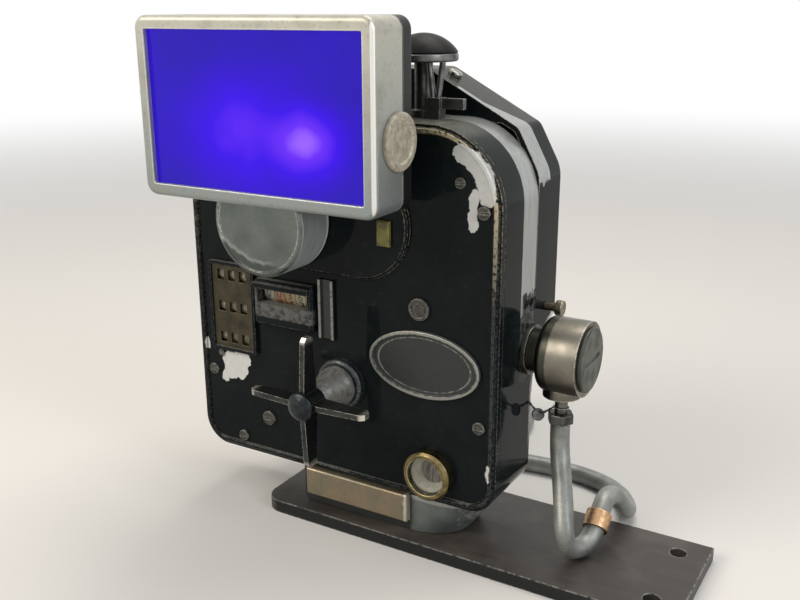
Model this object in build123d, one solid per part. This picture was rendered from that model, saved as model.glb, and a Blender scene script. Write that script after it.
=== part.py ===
from build123d import *
import math
import os

# Vintage mechanical taximeter with an illuminated flag box, on its mounting shelf.
# Millimetres. Z up, origin on the underside of the shelf, X to the right across the front plate,
# Y to the rear. The front plate's face lies in the plane Y = 0.

# Shelf
shelf_left = -50.0
shelf_right = 205.0
shelf_front = -11.0
shelf_rear = 69.0
shelf_thick = 8.0
shelf_corner = 12.0
shelf_hole_r = 4.5
shelf_hole_pitch = 50.0
shelf_hole_inset = 16.0

# Case
case_half = 102.0
foot_height = 23.0
plate_height = 210.0
top_corner = 42.0
bottom_corner = 17.0
plate_thick = 4.0
tub_depth = 41.0
wall = 3.0
bead_width = 3.0
bead_inset = 1.6
bead_rise = 1.6
rear_depth = 30.0
gable_half = 35.0
gable_rise = 24.0
eave_half = 89.0
eave_drop = 4.8
eave_fall = 24.0
gable_corner = 8.0
shoulder_corner = 20.0
cutaway_r = 41.0
cutaway_start = 58.0

# Clockwork behind the drums
works_inset = 20.0
works_below = 30.0
works_front = 24.0

# Foot
foot_left = -26.0
foot_right = 93.0
foot_right_low = 76.0
foot_depth = 40.0
foot_nose = 22.0
foot_back = 8.0
foot_corner = 4.0

# Bare strip on the foot
strip_left = foot_left + 5.0
strip_width = 70.0
strip_low = 7.0
strip_gap = 0.3
strip_thick = 5.0

# Flag
flag_x = 73.0 - case_half
flag_up = 155.0
hub_r = 30.0
hub_length = 26.0
hub_gap = 0.5
hub_rim = 3.0
hub_dish = 0.8
box_wide = 150.0
box_high = 95.0
box_lift = 13.0
box_shift = 11.0
box_front_gap = 11.0
box_rear_deep = 10.0
bezel_deep = 25.0
bezel_frame = 7.0
bezel_lip = 3.0
bezel_corner = 7.0
box_wall = 2.5
glass_thick = 3.0
glass_gap = 0.3
shaft_r = 7.0
shaft_clear = 0.05
shaft_tail = 22.0
boss_r = 31.0
boss_rise = 3.5
boss_span = 47.0
lug_wide = 8.0
lug_high = 14.0
lug_thick = 2.6
lug_inset = 17.5
lug_drop = 3.0
lamp_cap_r = 14.5
lamp_cap_thick = 2.6
lamp_cap_up = 36.0
lamp_cap_y = -25.0
lamp_cap_rim = 4.0
lamp_cap_sink = 0.9

# Cross handle
handle_gap_to_badge = 5.0
handle_below_fare = 41.5
handle_flange_r = 15.0
handle_flange_thick = 5.0
handle_cone_length = 21.0
handle_cone_r = 12.0
handle_neck_r = 6.5
handle_gap = 0.5
handle_arm = 38.0
blade_thick = 3.2
blade_root = 13.0
blade_tip = 8.0
handle_cap_r = 8.0
handle_cap_length = 4.0
handle_shaft_r = 4.0
handle_shaft_tail = 14.0
handle_collar = 3.0

# Windows and badge
fare_x = flag_x - 5.0
fare_wide = 42.0
fare_high = 28.0
fare_below = 9.0
fare_frame_rise = 5.0
fare_slot_wide = 36.0
fare_slot_high = 9.5
fare_slot_lift = 4.6
fare_hood = 2.5
fare_hood_thick = 3.0
glass_lap = 1.0
fit_gap = 0.2
fare_glass_thick = 1.2
drum_r = 9.0
drum_count = 5
drum_gap = 0.8
drum_axle_r = 3.0
cheek_thick = 2.0
cheek_out = 3.0
rail_gap = 3.5
rail_pitch = 8.5
rail_wide = 1.8
rail_high = 35.0
rail_rise = 2.4
rail_base = 0.8
total_x = 28.0 - case_half
total_wide = 30.0
total_below_fare = 8.0
total_high = 52.0
total_columns = 3
total_rows = 3
total_pitch_x = 8.3
total_pitch_z = 19.8
total_slot_wide = 5.0
total_slot_high = 6.5
total_rise = 1.6
total_rim = 2.2
total_rim_rise = 1.0
total_lap = 0.8
wheel_r = 5.8
wheel_wide = 6.8
wheel_axle_r = 2.4
wheel_sink = 6.8
side_plate = 1.0
badge_x = case_half - 44.0
badge_up = 81.0
badge_a = 34.0
badge_b = 19.0
badge_thick = 2.6
badge_rim = 2.2
badge_sink = 1.1
plug_r = 6.2
plug_rise = 1.8
plug_above = 31.0
dial_x = case_half - 40.0
dial_up = 17.0
dial_r = 14.5
dial_glass_r = 11.0
dial_rise = 7.0
dial_glass_thick = 1.5
dial_face_lap = 2.0

# Top post
post_x = case_half - 62.0
post_y = 30.0
post_r = 5.0
post_high = 29.0
collar_wide = 2.0
collar_high = 4.0
ring_r = 18.5
ring_thick = 4.5
dome_high = 10.0
fork_x = post_x + 11.0
fork_gap = 8.0
fork_wire = 1.6
fork_foot = 11.0
fork_y = post_y - 6.5
tab_long = 13.0
tab_high = 5.5

# Side drive
drive_up = 85.5
drive_inset = 5.0
drive_r = 20.8
drive_start = 10.0
drive_long = 24.0
drive_neck_r = 12.0
drive_flange_r = 16.0
drive_flange_thick = 3.0
drive_cap_r = 18.0
drive_cap_thick = 2.2
drive_slot = 3.0
drive_slot_long = 22.0
outlet_in = 10.0
outlet_r = 10.5
outlet_drop = 2.5
ferrule_r = 3.6
ferrule_long = 10.0
nut_flat = 13.0
nut_high = 6.0
side_bolt_up = 105.0
side_bolt_back = 15.0
side_bolt_r = 2.5
side_bolt_long = 11.0
side_bolt_head_r = 4.4
side_bolt_head = 4.0
gable_bolt_r = 4.0
gable_bolt_high = 3.0
gable_bolt_down = 9.0

# Flexible drive cable
cable_d = 11.0
coil_x = -15.0
coil_r = 57.5
coil_half = 20.0
coil_gap = 7.5
tail_offset = 43.0
tail_left = 10.0
tail_start = 8.5
end_nut_right = 30.0
end_nut_r = 7.5
end_nut_long = 18.0
end_bore_r = 4.0
end_bore_deep = 11.0
clip_r = 7.2
clip_wide = 10.0

# Derived places
case_bottom = shelf_thick + foot_height
case_top = case_bottom + plate_height
tub_rear = plate_thick + tub_depth
drive_y = tub_rear - drive_inset
drive_z = case_bottom + drive_up
outlet_x = case_half + drive_start + outlet_in
case_rear = tub_rear + rear_depth
flag_z = case_bottom + flag_up
box_rear = -box_front_gap
seam_y = box_rear - box_rear_deep
box_front = seam_y - bezel_deep
box_x = flag_x + box_shift
box_bottom = flag_z + box_lift
box_z = box_bottom + box_high / 2
hub_rear = -(boss_rise + hub_gap)
hub_front = hub_rear - hub_length
arm_rear = -(handle_flange_thick + handle_gap + handle_cone_length)
arm_front = arm_rear - blade_root - 1.0
fare_z = flag_z - boss_r - fare_below - fare_high / 2
handle_z = fare_z - handle_below_fare
handle_x = badge_x - badge_a - handle_gap_to_badge - handle_flange_r
rail_x = fare_x + fare_wide / 2 + rail_gap
slot_z = fare_z + fare_slot_lift
total_z = fare_z - total_below_fare
badge_z = case_bottom + badge_up
dial_z = case_bottom + dial_up
gable_top = case_top + gable_rise
eave_z = case_top - eave_drop
ring_z = case_top + post_high
outlet_z = drive_z - drive_r - outlet_drop
nut_top = outlet_z - ferrule_long
cable_top = nut_top - nut_high
cable_r = cable_d / 2
coil_y = case_rear + coil_gap + coil_r + coil_half
end_nut_left = coil_x + end_nut_right
end_nut_z = cable_d + end_nut_r
far = 400.0

# The cable's route, by hand: down from the nut, a tight turn on the shelf, over its rear edge,
# then along the floor to the coil behind the case.
cable_route = [
    (outlet_x, drive_y, cable_top),
    (outlet_x, drive_y, cable_top - 11.7),
    (124.8, 35.8, 54.4),
    (129.4, 28.2, 44.6),
    (133.8, 19.8, 35.8),
    (136.8, 13.8, 27.6),
    (138.0, 13.0, 20.8),
    (140.2, 16.4, 15.2),
    (142.9, 22.2, 13.3),
    (145.3, 28.8, 14.3),
    (146.6, 36.2, 19.4),
    (146.3, 45.4, 26.6),
    (146.0, 54.6, 30.4),
    (147.0, 63.2, 28.4),
    (149.0, 71.6, 20.6),
    (150.4, 81.0, 10.4),
    (148.0, 93.0, cable_r),
    (139.0, 107.0, cable_r),
    (122.0, 117.0, cable_r),
    (98.0, 120.5, cable_r),
    (70.0, 118.5, cable_r),
    (46.0, 111.0, cable_r),
]
clip_run = 10


def at_y(y):
    """A sketch plane facing the viewer at depth y: its X is X, its Y is up."""
    return Plane(origin=(0, y, 0), x_dir=(1, 0, 0), z_dir=(0, -1, 0))


def front_slab(face, y_front, y_rear):
    """Extrude a face drawn on the XY plane (x, height) so that it spans y_front to y_rear."""
    return extrude(at_y(y_rear) * face, y_rear - y_front)


def disc(x, z, radius, y_front, y_rear):
    return front_slab(Pos(x, z) * Circle(radius), y_front, y_rear)


def side_disc(y, z, radius, x_left, x_right):
    plane = Plane(origin=(x_left, 0, 0), x_dir=(0, 1, 0), z_dir=(1, 0, 0))
    return extrude(plane * (Pos(y, z) * Circle(radius)), x_right - x_left)


def block(x0, x1, y0, y1, z0, z1):
    box = Box(x1 - x0, y1 - y0, z1 - z0)
    return Pos((x0 + x1) / 2, (y0 + y1) / 2, (z0 + z1) / 2) * box


def turned(profile, x, z):
    """Turn a profile about the Y-parallel axis at (x, z); points are (radius, y)."""
    outline = Polyline(*[(r, y, 0) for r, y in profile], close=True)
    return Pos(x, 0, z) * revolve(make_face(outline), Axis.Y)


def case_face(inset=0.0):
    """The front view of the case: round-topped, with smaller corners below."""
    half = case_half - inset
    low = case_bottom + inset
    high = case_top - inset
    outline = Pos(0, (low + high) / 2) * Rectangle(2 * half, high - low)
    upper = outline.vertices().sort_by(Axis.Y)[-2:]
    lower = outline.vertices().sort_by(Axis.Y)[:2]
    outline = fillet(upper, top_corner - inset)
    return fillet(outline.vertices().group_by(Axis.Y)[0], bottom_corner - inset)


def gable_face(inset=0.0):
    """The front view of the rear cover: straight sides, short eaves and a flat-topped gable."""
    side_z = eave_z - eave_fall
    right = [
        (case_half, case_bottom),
        (case_half, side_z),
        (eave_half, eave_z),
        (gable_half, gable_top),
    ]
    left = [(-x, z) for x, z in reversed(right)]
    outline = make_face(Polyline(*right, *left, close=True))
    corners = outline.vertices().filter_by(lambda v: v.Y > eave_z + 1)
    outline = fillet(corners, gable_corner)
    shoulders = outline.vertices().filter_by(lambda v: side_z - 1 < v.Y < side_z + 1)
    outline = fillet(shoulders, shoulder_corner)
    eaves = outline.vertices().filter_by(lambda v: eave_z - 1 < v.Y < eave_z + 1)
    outline = fillet(eaves, gable_corner)
    return offset(outline, -inset, kind=Kind.INTERSECTION) if inset else outline


def cutaway(grow=0.0):
    """The hollow under the rear cover: a quarter round that runs across the case."""
    arc = side_disc(tub_rear + cutaway_r, case_bottom + cutaway_start, cutaway_r + grow, -far, far)
    below = block(-far, far, tub_rear - grow, far, 0, case_bottom + cutaway_start)
    return arc + below


def shelf():
    body = block(shelf_left, shelf_right, shelf_front, shelf_rear, 0, shelf_thick)
    left = body.edges().filter_by(Axis.Z).group_by(Axis.X)[0]
    body = fillet(left, shelf_corner)
    mid = (shelf_front + shelf_rear) / 2
    for side in (-0.5, 0.5):
        hole = Cylinder(shelf_hole_r, 3 * shelf_thick)
        body -= Pos(shelf_right - shelf_hole_inset, mid + side * shelf_hole_pitch, 0) * hole
    return body


def foot():
    """A cast foot whose right end flares upwards and is rounded, most at its front."""
    outline = [(foot_left, shelf_thick), (foot_right_low, shelf_thick), (foot_right, case_bottom),
               (foot_left, case_bottom)]
    face = make_face(Polyline(*outline, close=True))
    low = face.vertices().group_by(Axis.Y)[0].sort_by(Axis.X)
    face = fillet(low[:1], foot_corner)
    body = front_slab(face, 0, foot_depth)
    end = body.faces().sort_by(Axis.X)[-1].edges().sort_by(Axis.Y)
    body = fillet(end[:1], foot_nose)
    end = body.edges().filter_by(lambda edge: abs(edge.center().Y - foot_depth) < 0.01).sort_by(Axis.X)
    return fillet([edge for edge in end if abs(edge.tangent_at(0.5).Z) > 0.5][-1:], foot_back)


def case_tub():
    shell = front_slab(case_face(), plate_thick, tub_rear)
    return shell - front_slab(case_face(wall), plate_thick - 1, tub_rear - wall)


def fare_opening(grow, y_front, y_rear):
    """A block the size of the fare window's slot, grown by the given lap."""
    half = fare_slot_wide / 2 + grow
    high = fare_slot_high / 2 + grow
    return block(fare_x - half, fare_x + half, y_front, y_rear, slot_z - high, slot_z + high)


def front_cover():
    plate = front_slab(case_face(), 0, plate_thick)
    ring = case_face(bead_inset) - case_face(bead_inset + bead_width)
    bead = front_slab(ring, -bead_rise, 0)
    bead = chamfer(bead.faces().sort_by(Axis.Y)[0].edges(), 0.7)
    bead -= disc(dial_x, dial_z, dial_r + fit_gap, -far, 0)
    boss = SlotCenterToCenter(boss_span, 2 * boss_r)
    raised = front_slab(Pos(flag_x + boss_span / 2, flag_z) * boss, -boss_rise, 0)
    raised = chamfer(raised.faces().sort_by(Axis.Y)[0].edges(), 1.2)
    plate = plate + bead + raised
    plate -= disc(flag_x, flag_z, shaft_r + shaft_clear, -far, far)
    plate -= disc(handle_x, handle_z, handle_shaft_r + shaft_clear, -far, far)
    plate -= disc(dial_x, dial_z, dial_glass_r, -far, far)
    plate -= fare_opening(glass_lap + fit_gap, -far, far)
    half = total_wide / 2 - total_rim
    high = total_high / 2 - total_lap
    return plate - block(total_x - half, total_x + half, -far, far, total_z - high, total_z + high)


def rear_cover():
    shell = front_slab(gable_face(), tub_rear, case_rear) - cutaway()
    hollow = front_slab(gable_face(wall), tub_rear - 1, case_rear - wall) - cutaway(wall)
    hollow -= block(-far, far, 0, tub_rear + wall, case_top - wall, far)
    return shell - hollow


def movement():
    half = case_half - works_inset
    top = case_top - works_below
    return block(-half, half, works_front, tub_rear - wall, case_bottom + wall, top)


def strip_plate():
    z0 = shelf_thick + strip_low
    z1 = case_bottom + bead_inset - strip_gap
    plate = block(strip_left, strip_left + strip_width, -strip_thick, 0, z0, z1)
    return chamfer(plate.faces().sort_by(Axis.Y)[0].edges(), 0.8)


def badge():
    plate = front_slab(Pos(badge_x, badge_z) * Ellipse(badge_a, badge_b), -badge_thick, 0)
    inner = Pos(badge_x, badge_z) * Ellipse(badge_a - badge_rim, badge_b - badge_rim)
    return plate - front_slab(inner, -far, badge_sink - badge_thick)


def fare_frame():
    face = Pos(fare_x, fare_z) * RectangleRounded(fare_wide, fare_high, 2.5)
    frame = front_slab(face, -fare_frame_rise, 0)
    frame = chamfer(frame.faces().sort_by(Axis.Y)[0].edges(), 1.4)
    hood_half = (fare_wide + fare_slot_wide) / 4 + fare_hood_thick / 6
    hood_z = slot_z + fare_slot_high / 2
    hood_front = -fare_frame_rise - fare_hood
    hood = block(fare_x - hood_half, fare_x + hood_half, hood_front, -fare_frame_rise,
                 hood_z, hood_z + fare_hood_thick)
    return frame + hood - fare_opening(0, -far, far)


def fare_glass():
    return fare_opening(glass_lap, 0, fare_glass_thick)


def fare_drums():
    """Digit drums on one axle, carried by two cheeks against the back of the cover."""
    reach = fare_slot_high / 2 - 2 * fit_gap
    y = plate_thick + math.sqrt(drum_r ** 2 - reach ** 2)
    wide = fare_slot_wide + 2 * glass_lap
    left = fare_x - wide / 2
    pitch = wide / drum_count
    axle_left = left - cheek_out
    axle_right = left + wide + cheek_out
    solid = side_disc(y, slot_z, drum_axle_r, axle_left, axle_right)
    for i in range(drum_count):
        x = left + i * pitch
        solid += side_disc(y, slot_z, drum_r, x + drum_gap / 2, x + pitch - drum_gap / 2)
    for x in (axle_left, axle_right - cheek_thick):
        solid += block(x, x + cheek_thick, plate_thick, y + drum_axle_r + 1,
                       slot_z - drum_axle_r - 1, slot_z + drum_axle_r + 1)
    return solid


def rails():
    low = fare_z - fare_high / 2 - 2.0
    left = rail_x - rail_wide / 2
    right = left + rail_pitch + rail_wide
    solid = block(left, right, -rail_base, 0, low, low + rail_high)
    for x in (left, right - rail_wide):
        solid += block(x, x + rail_wide, -rail_rise, 0, low, low + rail_high)
    return solid


def spread(middle, count, pitch):
    """The centres of a row of like pieces, evenly spaced about the middle."""
    return [middle + (i - (count - 1) / 2) * pitch for i in range(count)]


def total_plate():
    plate = block(total_x - total_wide / 2, total_x + total_wide / 2, -total_rise, 0,
                  total_z - total_high / 2, total_z + total_high / 2)
    for x in spread(total_x, total_columns, total_pitch_x):
        for z in spread(total_z, total_rows, total_pitch_z):
            plate -= block(x - total_slot_wide / 2, x + total_slot_wide / 2, -far, far,
                           z - total_slot_high / 2, z + total_slot_high / 2)
    return plate


def total_frame():
    rim = 2 * total_rim
    outer = Pos(total_x, total_z) * RectangleRounded(total_wide + rim, total_high + rim, total_rim)
    inner = Pos(total_x, total_z) * Rectangle(total_wide, total_high)
    return front_slab(outer - inner, -total_rise - total_rim_rise, 0)


def total_wheels():
    """Three rows of count wheels between two side plates behind the cover."""
    half = total_wide / 2 - total_rim - 2 * fit_gap
    high = total_high / 2 + total_lap
    solid = None
    for z in spread(total_z, total_rows, total_pitch_z):
        row = side_disc(wheel_sink, z, wheel_axle_r, total_x - half, total_x + half)
        for x in spread(total_x, total_columns, total_pitch_x):
            row += side_disc(wheel_sink, z, wheel_r, x - wheel_wide / 2, x + wheel_wide / 2)
        solid = row if solid is None else solid + row
    for x in (total_x - half, total_x + half - side_plate):
        solid += block(x, x + side_plate, plate_thick, wheel_sink + wheel_r,
                       total_z - high, total_z + high)
    return solid


def dial_bezel():
    profile = [
        (dial_glass_r, -dial_rise),
        (dial_r - 1.5, -dial_rise),
        (dial_r, -dial_rise + 1.5),
        (dial_r, 0),
        (dial_glass_r + 1, 0),
        (dial_glass_r + 1, -dial_rise + 2),
        (dial_glass_r, -dial_rise + 2),
    ]
    return turned(profile, dial_x, dial_z)


def dial_glass():
    front = -dial_rise + 2
    return disc(dial_x, dial_z, dial_glass_r + 1 - fit_gap / 2, front, front + dial_glass_thick)


def dial_face():
    return disc(dial_x, dial_z, dial_glass_r + dial_face_lap, plate_thick, plate_thick + dial_glass_thick)


def handle_flange():
    ring = disc(handle_x, handle_z, handle_flange_r, -handle_flange_thick, 0)
    ring = chamfer(ring.faces().sort_by(Axis.Y)[0].edges(), 1.2)
    return ring - disc(handle_x, handle_z, handle_shaft_r + shaft_clear, -far, far)


def handle_hub():
    rear = -(handle_flange_thick + handle_gap)
    profile = [
        (0, arm_rear),
        (handle_neck_r, arm_rear),
        (handle_cone_r, rear - handle_collar),
        (handle_cone_r, rear),
        (0, rear),
    ]
    cone = turned(profile, handle_x, handle_z)
    return cone + disc(handle_x, handle_z, handle_shaft_r, rear, plate_thick + handle_shaft_tail)


def handle_arms():
    """Four blades, deep along the shaft and thin across it, round one boss."""
    solid = disc(handle_x, handle_z, handle_neck_r, arm_front, arm_rear)
    mid = (arm_front + arm_rear) / 2
    blade = make_face(Polyline(
        (0, mid - blade_root / 2), (handle_arm - 2, mid - blade_tip / 2),
        (handle_arm, mid - blade_tip / 2 + 2), (handle_arm, mid + blade_tip / 2 - 2),
        (handle_arm - 2, mid + blade_tip / 2), (0, mid + blade_root / 2), close=True))
    one = Pos(0, 0, -blade_thick / 2) * extrude(blade, blade_thick)
    for turn in range(4):
        solid += Pos(handle_x, 0, handle_z) * (Rot(0, 90 * turn, 0) * one)
    return solid


def handle_cap():
    front = arm_front - handle_cap_length
    profile = [
        (0, front),
        (handle_cap_r * 0.6, front + 0.6),
        (handle_cap_r, front + 2.6),
        (handle_cap_r, arm_front),
        (0, arm_front),
    ]
    return turned(profile, handle_x, handle_z)


def flag_hub():
    drum = disc(flag_x, flag_z, hub_r, hub_front, hub_rear)
    rims = drum.edges().filter_by(GeomType.CIRCLE)
    drum = chamfer(rims, 1.5)
    drum -= disc(flag_x, flag_z, hub_r - hub_rim, hub_front - 1, hub_front + hub_dish)
    shaft = disc(flag_x, flag_z, shaft_r, hub_rear - 1, shaft_tail)
    seat = block(-far, far, -far, box_rear, box_bottom, far)
    return drum + shaft - seat


def box_face(inset=0.0):
    corner = max(bezel_corner - inset, 1.0)
    return Pos(box_x, box_z) * RectangleRounded(box_wide - 2 * inset, box_high - 2 * inset, corner)


def flag_case():
    outer = front_slab(box_face(), seam_y, box_rear)
    outer = fillet(outer.faces().sort_by(Axis.Y)[-1].edges(), 2.0)
    return outer - front_slab(box_face(box_wall), seam_y - 1, box_rear - box_wall)


def flag_bezel():
    outer = front_slab(box_face(), box_front, seam_y)
    outer = fillet(outer.faces().sort_by(Axis.Y)[0].edges(), 3.0)
    hollow = front_slab(box_face(box_wall), box_front + bezel_lip, seam_y + 1)
    sight = front_slab(box_face(bezel_frame), box_front - 1, box_front + bezel_lip + 1)
    return outer - hollow - sight


def flag_glass():
    rear = box_front + bezel_lip + glass_thick
    return front_slab(box_face(box_wall + glass_gap), box_front + bezel_lip, rear)


def lamp_cap():
    right = box_x + box_wide / 2
    z = box_bottom + lamp_cap_up
    cap = side_disc(lamp_cap_y, z, lamp_cap_r, right, right + lamp_cap_thick)
    cap = chamfer(cap.faces().sort_by(Axis.X)[-1].edges(), 0.8)
    sink = right + lamp_cap_thick - lamp_cap_sink
    return cap - side_disc(lamp_cap_y, z, lamp_cap_r - lamp_cap_rim, sink, far)


def stop_lug():
    x = flag_x + boss_span + boss_r - lug_inset
    z = flag_z - lug_drop
    front = -(boss_rise + lug_thick)
    lug = block(x, x + lug_wide, front, -boss_rise, z - lug_high / 2, z + lug_high / 2)
    return chamfer(lug.faces().sort_by(Axis.Y)[0].edges(), 0.6)


def screw_head(x, z, radius, rise):
    slot_deep = rise / 2
    slot_half = radius / 6
    head = disc(x, z, radius, -rise, 0)
    head = chamfer(head.faces().sort_by(Axis.Y)[0].edges(), rise / 4)
    return head - block(x - radius, x + radius, -far, slot_deep - rise, z - slot_half, z + slot_half)


def cover_screws():
    """Slotted heads round the cover, set in from its edges, and two below the totaliser."""
    places = [
        # side, inset, from the top, distance, radius, rise
        (1, 10.0, True, 42.0, 3.6, 1.6),
        (1, 23.5, True, 28.0, 3.0, 1.4),
        (1, 10.5, False, 51.0, 3.6, 1.6),
        (-1, 10.0, True, 42.0, 3.6, 1.6),
        (-1, 30.5, False, 9.0, 3.6, 1.6),
        (-1, 51.5, False, 25.5, 4.6, 2.0),
    ]
    heads = []
    for side, inset, from_top, distance, radius, rise in places:
        z = case_top - distance if from_top else case_bottom + distance
        heads.append(screw_head(side * (case_half - inset), z, radius, rise))
    total_bottom = total_z - total_high / 2 - total_rim
    heads.append(screw_head(total_x - 18.5, total_bottom - 14.8, 3.6, 1.6))
    heads.append(screw_head(total_x - 12.0, total_bottom - 3.3, 2.2, 1.0))
    return heads


def ringed_plug():
    x = badge_x - 3.0
    z = badge_z + plug_above
    rim = disc(x, z, plug_r, -plug_rise, 0) - disc(x, z, plug_r * 0.75, -far, plug_rise * 0.55 - plug_rise)
    return rim + disc(x, z, plug_r * 0.55, 0.3 - plug_rise, 0)


def top_stem():
    stem = Pos(post_x, post_y, (case_top + ring_z) / 2) * Cylinder(post_r, ring_z - case_top)
    collar = Pos(post_x, post_y, case_top + collar_high / 2) * Cylinder(post_r + collar_wide, collar_high)
    return stem + collar


def top_ring():
    ring = Pos(post_x, post_y, ring_z + ring_thick / 2) * Cylinder(ring_r, ring_thick)
    return chamfer(ring.edges().filter_by(GeomType.CIRCLE), 0.8)


def top_dome():
    base = ring_z + ring_thick
    radius = (ring_r ** 2 + dome_high ** 2) / (2 * dome_high)
    ball = Pos(post_x, post_y, base + dome_high - radius) * Sphere(radius)
    keep = block(-far, far, -far, far, base, far)
    return ball & keep


def fork_arm():
    """A small forked arm whose two prongs rise from one foot to the ring's underside."""
    solid = block(fork_x - 4, fork_x + 4, fork_y - 3.5, fork_y + 3.5, case_top, case_top + fork_foot)
    for side in (-1, 1):
        low = (fork_x + side * fork_wire * 0.75, fork_y, case_top + fork_foot - 2)
        high = (fork_x + side * fork_gap / 2, fork_y, ring_z)
        lean = math.degrees(math.atan2(high[0] - low[0], high[2] - low[2]))
        rod = Cylinder(fork_wire, math.dist(low, high) + 2, align=(Align.CENTER, Align.CENTER, Align.MIN))
        solid += Pos(*low) * (Rot(0, lean, 0) * rod)
    solid -= block(-far, far, -far, far, ring_z, far)
    tab_z = case_top + fork_foot - tab_high
    return solid + block(fork_x + 4, fork_x + 4 + tab_long, fork_y - 1.5, fork_y + 1.5,
                         tab_z, tab_z + tab_high)


def gable_bolts():
    """A bolt head on each slope of the gable, just below its flat top."""
    slope = math.atan2(gable_top - eave_z, eave_half - gable_half)
    x = gable_half + gable_bolt_down * math.cos(slope)
    z = gable_top - gable_bolt_down * math.sin(slope)
    y = (tub_rear + case_rear) / 2
    head = Cylinder(gable_bolt_r, gable_bolt_high, align=(Align.CENTER, Align.CENTER, Align.MIN))
    head = chamfer(head.edges().filter_by(GeomType.CIRCLE).sort_by(Axis.Z)[-1], 0.8)
    return [Pos(side * x, y, z) * (Rot(0, side * math.degrees(slope), 0) * head) for side in (-1, 1)]


def side_bolt():
    y = tub_rear + side_bolt_back
    z = case_bottom + side_bolt_up
    end = case_half + side_bolt_long
    shank = side_disc(y, z, side_bolt_r, case_half, end)
    return shank + side_disc(y, z, side_bolt_head_r, end - side_bolt_head, end)


def drive_flange():
    return side_disc(drive_y, drive_z, drive_flange_r - 2, case_half, case_half + drive_flange_thick)


def drive_housing():
    start = case_half + drive_start
    end = start + drive_long
    neck = side_disc(drive_y, drive_z, drive_neck_r, case_half + drive_flange_thick, start)
    drum = side_disc(drive_y, drive_z, drive_r, start, end)
    drum = fillet(drum.edges().filter_by(GeomType.CIRCLE).sort_by(Axis.X)[0:1], 4.0)
    outlet = Pos(outlet_x, drive_y, (outlet_z + drive_z) / 2) * Cylinder(
        outlet_r, drive_z - outlet_z)
    return neck + drum + outlet


def drive_cap():
    end = case_half + drive_start + drive_long
    cap = side_disc(drive_y, drive_z, drive_cap_r, end, end + drive_cap_thick)
    cap = chamfer(cap.faces().sort_by(Axis.X)[-1].edges(), 0.8)
    slot = block(end + drive_cap_thick / 2, far, drive_y - drive_slot_long / 2,
                 drive_y + drive_slot_long / 2, drive_z - drive_slot / 2, drive_z + drive_slot / 2)
    return cap - slot


def union_neck():
    return Pos(outlet_x, drive_y, nut_top + ferrule_long / 2) * Cylinder(ferrule_r, ferrule_long)


def union_nut():
    face = RegularPolygon(nut_flat / 2, 6, major_radius=False)
    nut = Pos(outlet_x, drive_y, cable_top) * extrude(face, nut_high)
    return chamfer(nut.faces().sort_by(Axis.Z)[-1].edges(), 0.8)


def route_radii(points):
    """The largest arc that each corner's two runs allow, 0.45 of the shorter run."""
    radii = []
    for a, b, c in zip(points, points[1:], points[2:]):
        one = Vector(*b) - Vector(*a)
        two = Vector(*c) - Vector(*b)
        half_turn = math.radians(one.get_angle(two)) / 2
        radii.append(0.45 * min(one.length, two.length) / math.tan(half_turn))
    return radii


def drive_cable():
    radii = route_radii(cable_route)
    path = FilletPolyline(*cable_route, radius=radii)
    start = Plane(origin=cable_route[0], z_dir=path % 0)
    tube = sweep(start * Circle(cable_r), path)
    print("cable radii", [round(r, 1) for r in radii])
    print("cable tube length", round(path.length, 1), "volume ratio",
          round(tube.volume / (math.pi * cable_r ** 2 * path.length), 4))
    return tube


def cable_coil():
    """The outer shape of the put-away turns, which lie flat, and the end that rises to rest on them."""
    ring = Cylinder(coil_r + coil_half, cable_d) - Cylinder(coil_r - coil_half, 2 * cable_d)
    ring = Pos(coil_x, coil_y, cable_r) * ring
    low = (coil_x - tail_left, coil_y + tail_offset, tail_start)
    high = (end_nut_left, coil_y + tail_offset, end_nut_z)
    length = math.dist(low, high)
    rise = math.degrees(math.asin((high[2] - low[2]) / length))
    rod = Cylinder(cable_r, length + cable_r, align=(Align.CENTER, Align.CENTER, Align.MIN))
    tail = Pos(*low) * (Rot(0, 90 - rise, 0) * rod)
    return ring + (tail & block(coil_x - coil_r, end_nut_left, coil_y, far, 0, far))


def end_nut():
    y = coil_y + tail_offset
    right = end_nut_left + end_nut_long
    nut = side_disc(y, end_nut_z, end_nut_r, end_nut_left, right)
    nut = chamfer(nut.edges().filter_by(GeomType.CIRCLE), 0.8)
    return nut - side_disc(y, end_nut_z, end_bore_r, right - end_bore_deep, far)


def cable_clip():
    """A copper band closed round the cable where it rises from the shelf."""
    low = Vector(*cable_route[clip_run])
    high = Vector(*cable_route[clip_run + 1])
    along = (high - low).normalized()
    middle = low + (high - low) * 0.4
    start = Plane(origin=middle - along * (clip_wide / 2), z_dir=along)
    ring = Circle(clip_r) - Circle(cable_r)
    return extrude(start * ring, clip_wide)


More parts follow.
